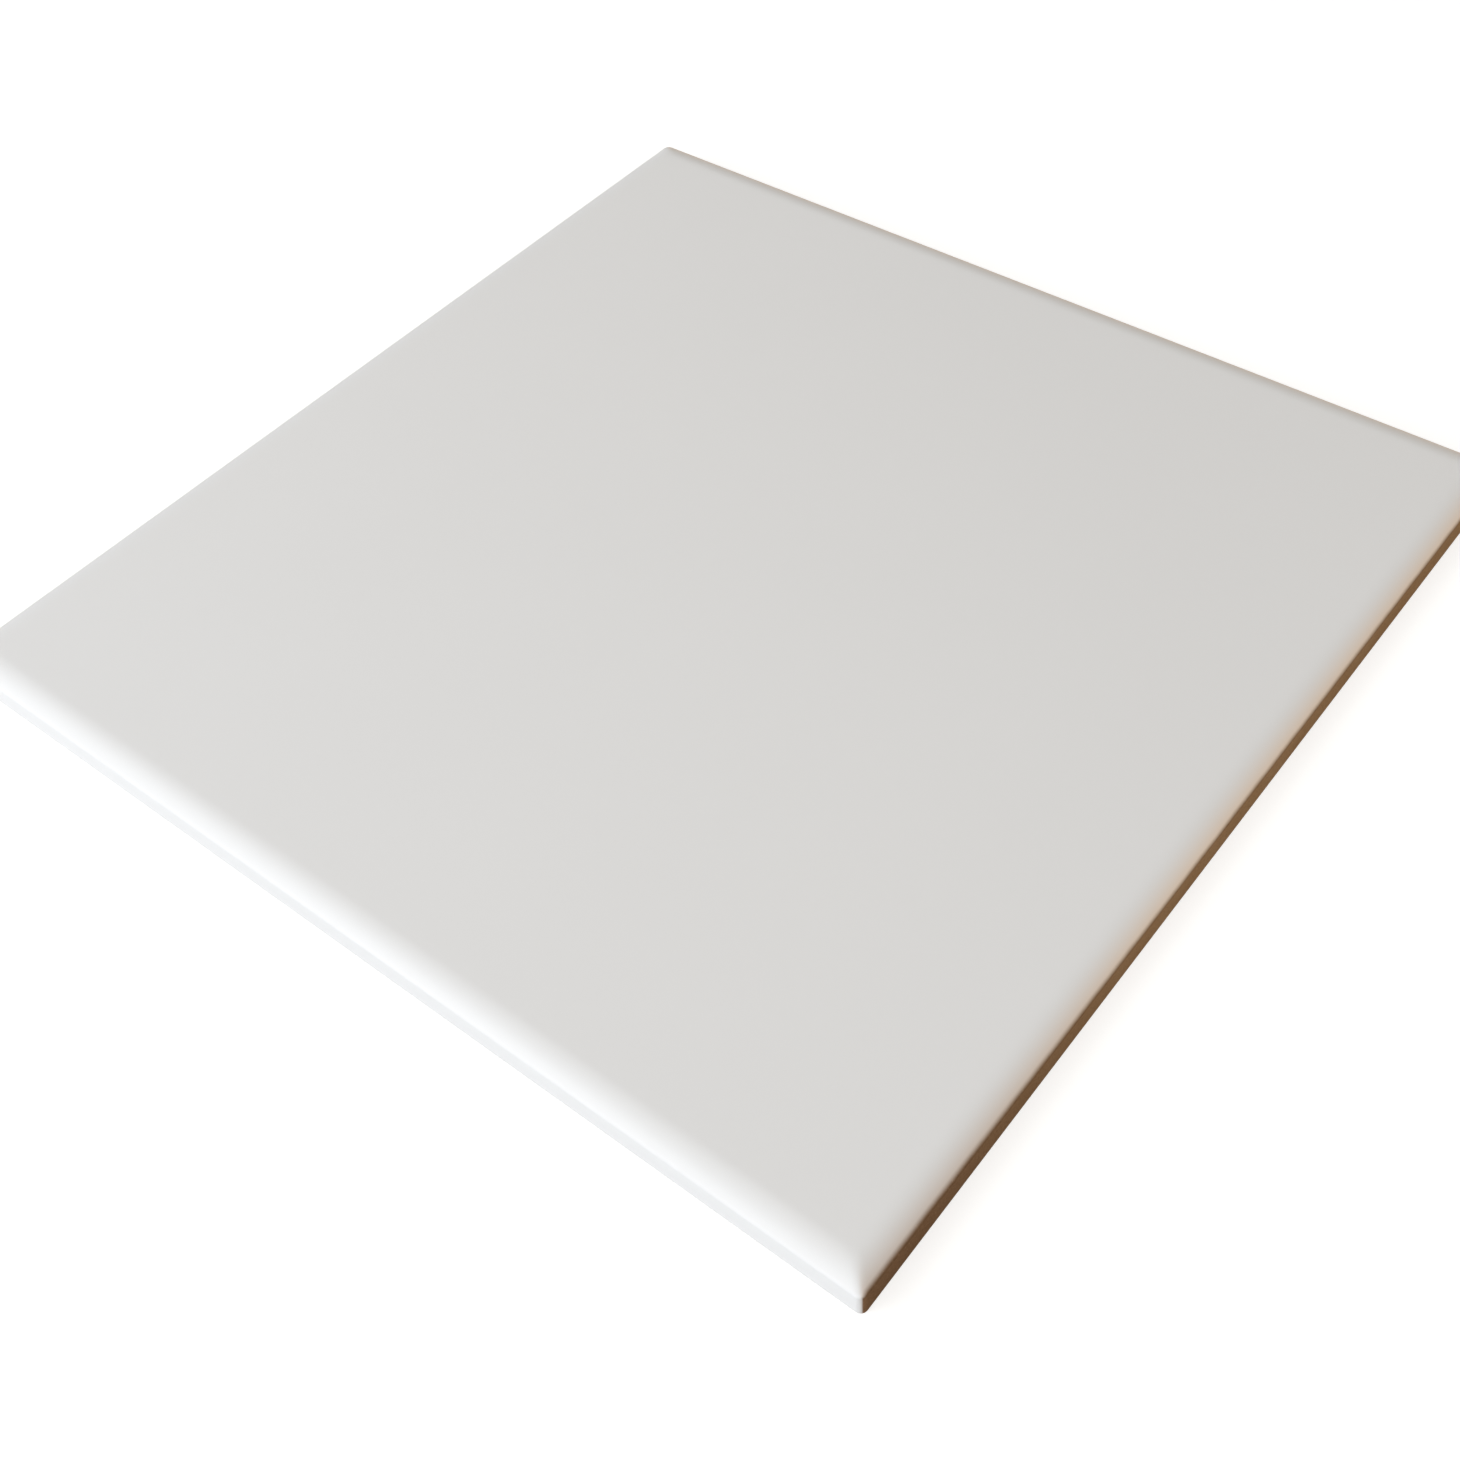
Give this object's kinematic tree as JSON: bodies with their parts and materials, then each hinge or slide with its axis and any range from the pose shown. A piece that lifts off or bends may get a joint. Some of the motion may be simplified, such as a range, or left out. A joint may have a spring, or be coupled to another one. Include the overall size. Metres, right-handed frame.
{
  "type": "ceramic wall tile",
  "caption": "Square glazed ceramic wall tile with a softly cushioned edge round its face and a keyed, unglazed back, laid flat.",
  "frame": {"origin": "middle of the back, on the plane of the rib tops and the plain land that bear on the wall", "axes": "+Z out of the glazed face; X and Y along the edges, with the two glazed edge walls at -X and -Y"},
  "size_m": [0.198, 0.198, 0.0065],
  "materials": {
    "glazed_body": "satin"
  },
  "bodies": {
    "root": {"tile": "glazed_body"}
  },
  "joints": []
}
